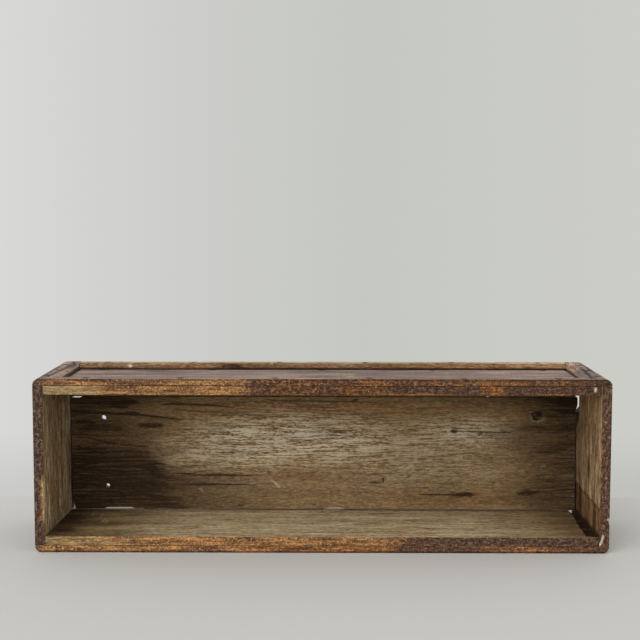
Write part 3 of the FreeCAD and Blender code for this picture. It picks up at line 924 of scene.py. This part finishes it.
def bottom_board(node, wide, holes, seed):
    """A board of the bottom, seen through the mouth: weathered silver in the middle, dark at both ends."""
    cut = [((x * MM, BOTTOM_MIDDLE * MM, z * MM), 0.5 * bore * MM) for x, z, bore in holes]
    points, out, quads = plank(node, ALONG_X_THROUGH_Y, BOTTOM_STEPS, BOTTOM_ARRIS, cut)
    x, y, z = millimetres(points)
    inside, outside = ease(0.3, 0.9, -out[:, 1]), ease(0.3, 0.9, out[:, 1])
    depth = grain_relief(points, 0, seed, 0.14 * MM) + arris_dents(points, out, seed + 3, 0.3 * MM)
    marks = blank_marks(points)
    marks.pale = 0.45 * outside
    if wide:
        trim_wide_board(points, x, z, seed)
        age_wide_board(points, inside, x, z, depth, marks, seed)
        splinter_knot(points, inside, x, z, depth, marks, seed)
    else:
        points[:, 0] += 2.0 * MM * ease(150, 217, x)
        points[:, 2] -= 0.6 * MM * ease(-204, -209, x) * ease(117, 111.5, z)
        # Painted shade under the upper side board, deeper towards the right end
        marks.dark = inside * (0.45 + 0.4 * ease(150, 215, x))
    piece(node, points, out, depth, quads, None, marks, BOTTOM_WOOD)


def trim_wide_board(points, x, z, seed):
    """Moves the wide board's edges: its foot comes down but for ragged gaps, and its corners split."""
    ragged = 0.25 * noise(points, (7 * MM, 1, 1), seed + 40)
    lifted = (window(x, -191, -186, -166, -163) + 0.5 * window(x, -160, -158, -156, -154)
              + 1.05 * window(x, -6, 6, 17, 18.5) - 0.7 * ease(214, 215, x))
    points[:, 2] -= MM * (1.25 + ragged - 1.1 * lifted) * ease(24, 13.5, z)
    split = 0.85 * ease(-206.5, -211.5, x) + 0.35 * np.exp(-((x - 143.6) / 1.2) ** 2)
    points[:, 2] -= 2.0 * MM * split * ease(104, 110.5, z)
    corner = (0.7 * window(z, 78, 92, 97, 104) - 1.4 * ease(97, 105, z)
              + 0.3 * noise(points, (1, 1, 4 * MM), seed + 41))
    points[:, 0] -= MM * corner * ease(204, 219, x) * ease(70, 80, z)
    chip = 2.4 * ease(22, 13, z) + 1.6 * np.exp(-((z - 91) / 0.9) ** 2)
    points[:, 0] += MM * chip * ease(-206, -217, x)


def age_wide_board(points, inside, x, z, depth, marks, seed):
    """Silver weathering, warm bands, dark ends, painted shade along the top, knots, worm holes, cracks and
    scratches.
    """
    marks.pale += inside * spots(x, z, (1, (-25, 77), (110, 36)), (0.6, (-85, 60), (85, 40)),
                                 (0.9, (125, 82), (60, 20)), (0.4, (80, 60), (120, 42)))
    marks.warm += inside * spots(x, z, (0.5, (0, 100), (230, 9)), (0.5, (-80, 42), (130, 8)),
                                 (0.6, (-205, 37), (14, 9)), (0.5, (110, 22), (120, 10)))
    wander = 14 * noise(points, (40 * MM, 1, 12 * MM), seed + 50)
    mottling = layered(points, (36 * MM, 1, 7 * MM), seed + 52, 3)
    low = ease(66, 36, z + 0.5 * wander)
    # Of these, the darkening towards the top is painted shade under the upper side board, and the last term
    # painted shade in the gap at the top right corner
    marks.dark += inside * (0.72 * ease(-100, -192, x + wander) + 0.62 * ease(138, 212, x + wander)
                            + 0.28 * ease(98, 112, z) + 0.18 * ease(40, 120, x)
                            + 0.28 * ease(-55, -120, x) * low
                            + (0.2 + 0.2 * ease(-30, -70, x)) * low * ease(150, 100, x)
                            + 0.22 * ease(0.05, 0.6, mottling)
                            + 0.9 * ease(216.0, 217.2, x) * ease(94, 100, z))
    for start, end, width, bow, dark in DARK_LINES:
        line = inside * stroke(x, z, start, end, width, bow)
        marks.dark += dark * line
        depth += 0.35 * MM * line
    u = x + 1.6 * noise(points, (5 * MM, 1, 1.4 * MM), seed + 54)
    v = z + 0.5 * noise(points, (4 * MM, 1, 1.1 * MM), seed + 55)
    for place, size, dark, bite in DARK_SPOTS:
        mark = inside * spot(u, v, place, size)
        marks.dark += dark * mark
        depth += bite * MM * mark
    for start, end, width in CRACKS:
        line = inside * stroke(x, z, start, end, width)
        marks.dark += 0.95 * line
        depth += 0.3 * MM * line
    marks.bright += 0.35 * inside * stroke(x, z, (-212, 28.9), (-185, 29), 0.9)
    marks.bright += 0.8 * inside * strokes(x, z, 0.8, SCRATCHES)


def splinter_knot(points, inside, x, z, depth, marks, seed):
    """A pale chipped ring about a dark pit, its edge moved by noise."""
    ring = np.hypot((x - KNOT[0]) / KNOT_SIZE[0], (z - KNOT[1]) / KNOT_SIZE[1])
    ragged = ring + 0.5 * layered(points, (2.6 * MM, 1, 2.6 * MM), seed + 60, 2)
    lower_left = ease(5, -3, (z - KNOT[1]) + 0.5 * (x - KNOT[0]))
    marks.bright += inside * window(ragged, 0.6, 0.75, 0.9, 1.05) * (0.1 + 0.7 * lower_left)
    marks.bright += 0.8 * inside * strokes(x, z, 1.0, KNOT_SPLINTERS)
    pit = np.hypot((x - PIT[0]) / PIT_SIZE[0], (z - PIT[1]) / PIT_SIZE[1])
    marks.dark += inside * (0.7 * ease(0.8, 0.5, ragged) + 1.2 * ease(3.0, 1.6, pit))
    depth += MM * inside * (0.7 * ease(1.0, 0.6, ragged) + 1.2 * ease(3.6, 1.4, pit))


# Frames: the seams that they share with the side boards, and the cracks in the upper stiles
UPPER_SEAM, LOWER_SEAM = 134.0, 5.7
STILE_CRACKS = (((-207, -52), (-205, 20), 0.9), ((-219, -50), (-216, 52), 1.0),
                ((-224, -30), (-222, 40), 0.9), ((208, -40), (210, 50), 0.9),
                ((216, -54), (219, 30), 1.0), ((222, -20), (224, 52), 0.9))
# Chips in the upper base rail: height, centre, half size
BASE_RAIL_CHIPS = ((1, (-166.8, 137.2), (3.4, 1.6)), (1, (-166.8, 136), (1.6, 2)),
                   (1, (-44.2, 139.2), (1.4, 1.0)), (1, (-60, 134.8), (1.4, 1.0)))
# How much paint and ground is left along x on the mouth faces of the rails and on the stiles' mouth ends
UPPER_RAIL_PAINT = ((-215, 0.4), (-120, 0.46), (-64, 0.44), (-54, 0.74), (25, 0.8), (34, 0.44),
                    (50, 0.46), (60, 0.58), (120, 0.5), (128, 0.42), (146, 0.48), (215, 0.62))
UPPER_RAIL_GROUND = ((-215, 0.8), (215, 0.9))
LOWER_RAIL_PAINT = ((-215, 0.2), (46, 0.3), (62, 0.62), (120, 0.66), (135, 0.48), (170, 0.5), (215, 0.64))
LOWER_RAIL_GROUND = ((-215, 0.7), (-100, 0.85), (215, 0.9))
UPPER_STILE_PAINT = ((-228, 0.9), (-223, 0.62), (-212, 0.42), (212, 0.6), (220, 0.7), (228, 0.85))
LOWER_STILE_PAINT = ((-228, 0.42), (-222, 0.25), (-212, 0.2), (212, 0.66), (224, 0.7), (228, 0.5))
STILE_GROUND = ((-228, 0.6), (228, 0.7))


def frame_strip(node, axes, radii, seed, material, paint, ground, crown=0.0):
    """A strip of the frames: rubbed arrises, ochre ground and dark paint on its mouth end or edge.

    paint and ground are levels along x. A crowned strip sinks towards its ends by a parabola."""
    points, out, quads, triangles = strip(node, axes, radii, seed)
    x, y, z = millimetres(points)
    upper = node.startswith("upper")
    is_stile = node.endswith("stile")
    along = 1 if is_stile else 0
    front = ease(0.2, 0.6, -out[:, 1])
    face = ease(0.4, 0.8, out[:, 2] * (1 if upper else -1))
    seam = front * ease(135.4, 134.7, z) * upper
    dents = arris_dents(points, out, seed + 3, 0.5 * MM) * (1 - seam)
    depth = grain_relief(points, along, seed, 0.12 * MM) + dents
    marks = blank_marks(points)
    if is_stile and upper:
        # Planed down towards the panel between the rails, the right one nearly to nothing
        bevel = 0.5 if "left" in node else 0.78
        bevel = bevel * ease(221, 211, np.abs(x)) * window(y, -49, -46, 46.5, 49.5)
        points[:, 2] = (UPPER_SEAM + (z - UPPER_SEAM) * (1 - bevel)) * MM
    patch = noise(points, along_grain(along, 40 * MM, 8 * MM), seed + 9)
    marks.worn = 0.45 * arris(out)
    if "base" in node:
        stain = spot(x, z, (-78, 136.5), (24, 5))
        marks.ground = front * (0.25 + 0.15 * patch)
        marks.pale = 0.1 * front + 0.3 * face
        marks.paint = front * 0.75 * stain + 0.35 * face + 0.5 * ease(0.4, 0.8, out[:, 1])
        marks.warm = front * (0.3 + 0.6 * stain)
        marks.dark = front * (0.2 * window(x, -120, -60, 60, 120) + 0.15 * ease(0.0, 0.7, patch))
        if upper:
            # A heart-shaped chip, two small ones, and a dip worn into the top
            marks.bright += front * spots(x, z, *BASE_RAIL_CHIPS)
            points[:, 2] -= MM * 0.9 * ease(0.2, 0.8, out[:, 2]) * spot(x, x, (147, 147), (8, 8))
    else:
        dark_stretch = front * ease(*CRACKLE_START, x)
        marks.ground = front * stops(x, *ground) + 0.1 * face
        marks.paint = front * stops(x, *paint) + face * (0.66 + 0.25 * patch)
        marks.crackled = 0.15 + 0.7 * dark_stretch * ease(62, 20, x) * upper
        marks.warm = 0.6 * dark_stretch
        marks.faded = face
        marks.pale = 0.3 * face
        marks.dark = face * (0.1 + 0.3 * ease(-0.2, 0.6, patch))
        if upper:
            marks.dark += 0.4 * front * ease(0.9, 0.5, np.abs(z - 138.6)) + 0.25 * dark_stretch
        else:
            # Darker along the foot of the mouth face: dirt, and painted shade where it meets the table
            marks.dark += 0.85 * front * ease(2.0, 0.9, z)
    if is_stile and upper:
        for start, end, width in STILE_CRACKS:
            marks.dark += 0.85 * face * stroke(x, y, start, end, width)
        pitted = ease(0.3, 0.7, noise(points, (3 * MM, 6 * MM, 3 * MM), seed + 12))
        marks.dark += 0.9 * pitted * ease(219, 223, np.abs(x)) * ease(0.1, 0.5, out[:, 2])
    foot = ease(1.7, 0.8, np.abs(z - (UPPER_SEAM if upper else LOWER_SEAM)))
    if is_stile:
        inner_side = ease(0.5, 0.9, -out[:, 0] * np.sign(x))
        marks.paint += 0.55 * inner_side
        marks.dark += 0.3 * inner_side
    else:
        inner_side = ease(0.5, 0.9, -out[:, 1] if "base" in node else out[:, 1])
    # Painted shade at the foot of the inner faces, where they meet the board
    marks.dark += 0.9 * foot * inner_side
    # Painted shade on the lower right stile's top, in the trench
    if node == "lower_right_stile":
        marks.dark += ease(0.4, 0.8, out[:, 2]) * ease(-56, -54, y)
    if crown:
        points[:, 2] -= crown * (x / 210) ** 2 * ease(135.0, 139.0, z)
    piece(node, points, out, depth, quads, triangles, marks, material)


end_board("left_end_board", -1, LEFT_END_SWELL, 11)
end_board("right_end_board", 1, RIGHT_END_SWELL, 23)
upper_side_board("upper_side_board", 37)
lower_side_board("lower_side_board", 41)
bottom_board("wide_bottom_board", True, (LEFT_TOP_HOLE, LEFT_LOW_HOLE, RIGHT_LOW_HOLE, RIGHT_TOP_HOLE), 53)
bottom_board("narrow_bottom_board", False, (), 59)

for level, top, paint, ground in (("lower", False, LOWER_RAIL_PAINT, LOWER_RAIL_GROUND),
                                  ("upper", True, UPPER_RAIL_PAINT, UPPER_RAIL_GROUND)):
    outer = SOFT_ARRIS if top else TIGHT_ARRIS
    inner = TIGHT_ARRIS if top else SOFT_ARRIS
    radii = (inner, inner, outer, outer)
    frame_strip(level + "_mouth_rail", ALONG_X_THROUGH_Z, radii, 60 + top, RAIL_WOOD, paint, ground)
    frame_strip(level + "_base_rail", ALONG_X_THROUGH_Z, radii, 70 + top, RAIL_WOOD, paint, ground,
                CROWN * top)
    paint = UPPER_STILE_PAINT if top else LOWER_STILE_PAINT
    for on_left, side in enumerate(("right", "left")):
        # Across runs towards the left, so a left stile's outer arris is at high across
        radii = [ARRIS if top else TIGHT_ARRIS] * 4
        radii[{(0, 0): 0, (0, 1): 1, (1, 1): 2, (1, 0): 3}[int(top), on_left]] = STILE_ROUND
        frame_strip(level + "_" + side + "_stile", ALONG_Y_THROUGH_Z, radii, 80 + 2 * top + on_left,
                    STILE_WOOD, paint, STILE_GROUND)

for name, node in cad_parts.items():
    if name.endswith("_nails"):
        node.data.materials.clear()
        node.data.materials.append(RUST)


# Stage, light and camera

def flat_sheet(name, corners, material):
    """A flat four-cornered sheet of the stage, which isn't part of the box."""
    mesh = bpy.data.meshes.new(name)
    mesh.from_pydata(corners, [], [(0, 1, 2, 3)])
    sheet = bpy.data.objects.new(name, mesh)
    bpy.context.scene.collection.objects.link(sheet)
    sheet.data.materials.append(material)
    return sheet


def plain(name, colour):
    """A dull material of one colour, for the stage."""
    shader = Shader(name)
    shader.surface.inputs["Base Color"].default_value = colour
    shader.surface.inputs["Roughness"].default_value = 0.9
    shader.surface.inputs["Specular IOR Level"].default_value = 0.1
    return shader


def glowing_wall():
    """A wall seen from its front only, glowing with painted light: paler on the left, where more light
    falls, and with painted shade just above the table.
    """
    paper = plain("glowing_wall", seen(0, 0, 0))
    place = paper.add("ShaderNodeSeparateXYZ", {0: paper.place}).outputs
    colour = paper.ramp(paper.scaled(place[0], 1.4, 0.5),
                        [(0.08, seen(215, 215, 214)), (0.35, seen(203, 204, 201)),
                         (0.55, seen(197, 199, 194)), (0.9, seen(203, 204, 198))])
    paper.put(paper.surface.inputs["Emission Color"], colour)
    dusk = paper.scaled(paper.between(place[2], 0.0, DUSK_HEIGHT), 0.13, 0.87)
    paper.put(paper.surface.inputs["Emission Strength"], dusk)
    facing_away = paper.add("ShaderNodeNewGeometry").outputs["Backfacing"]
    clear = paper.add("ShaderNodeBsdfTransparent").outputs[0]
    one_sided = paper.add("ShaderNodeMixShader", {0: facing_away, 1: paper.surface.outputs[0], 2: clear})
    paper.links.new(one_sided.outputs[0], paper.nodes["Material Output"].inputs["Surface"])
    return paper.material


flat_sheet("table", [(-FLOOR_HALF, -FLOOR_HALF, 0), (FLOOR_HALF, -FLOOR_HALF, 0),
                     (FLOOR_HALF, FLOOR_HALF, 0), (-FLOOR_HALF, FLOOR_HALF, 0)],
           plain("pale_table", seen(196, 195, 189)).material)
wall = flat_sheet("wall", [(-FLOOR_HALF, WALL_BEHIND, 0), (FLOOR_HALF, WALL_BEHIND, 0),
                           (FLOOR_HALF, WALL_BEHIND, WALL_HEIGHT), (-FLOOR_HALF, WALL_BEHIND, WALL_HEIGHT)],
                  glowing_wall())
wall.visible_diffuse = False
wall.visible_shadow = False

world = bpy.data.worlds.new("soft_room")
bpy.context.scene.world = world
world.use_nodes = True
world.node_tree.nodes["Background"].inputs["Color"].default_value = (1.0, 1.0, 1.0, 1.0)
world.node_tree.nodes["Background"].inputs["Strength"].default_value = SKY_STRENGTH

sun = bpy.data.lights.new("window", "SUN")
sun.energy = SUN_ENERGY
sun.angle = SUN_ANGLE
sun_object = bpy.data.objects.new("window", sun)
bpy.context.scene.collection.objects.link(sun_object)
sun_object.rotation_euler = Vector(SUN_HEADING).to_track_quat("-Z", "Y").to_euler()

camera = bpy.data.cameras.new("camera")
camera.lens = LENS
camera.sensor_width = SENSOR
camera_object = bpy.data.objects.new("camera", camera)
bpy.context.scene.collection.objects.link(camera_object)
camera_object.matrix_world = (Matrix.Translation(CAMERA_PLACE) @ Matrix.Rotation(CAMERA_TURN_LEFT, 4, "Z")
                              @ Matrix.Rotation(math.pi / 2 - CAMERA_PITCH_DOWN, 4, "X")
                              @ Matrix.Rotation(CAMERA_ROLL, 4, "Z"))
bpy.context.scene.camera = camera_object
bpy.context.scene.view_settings.view_transform = "Standard"
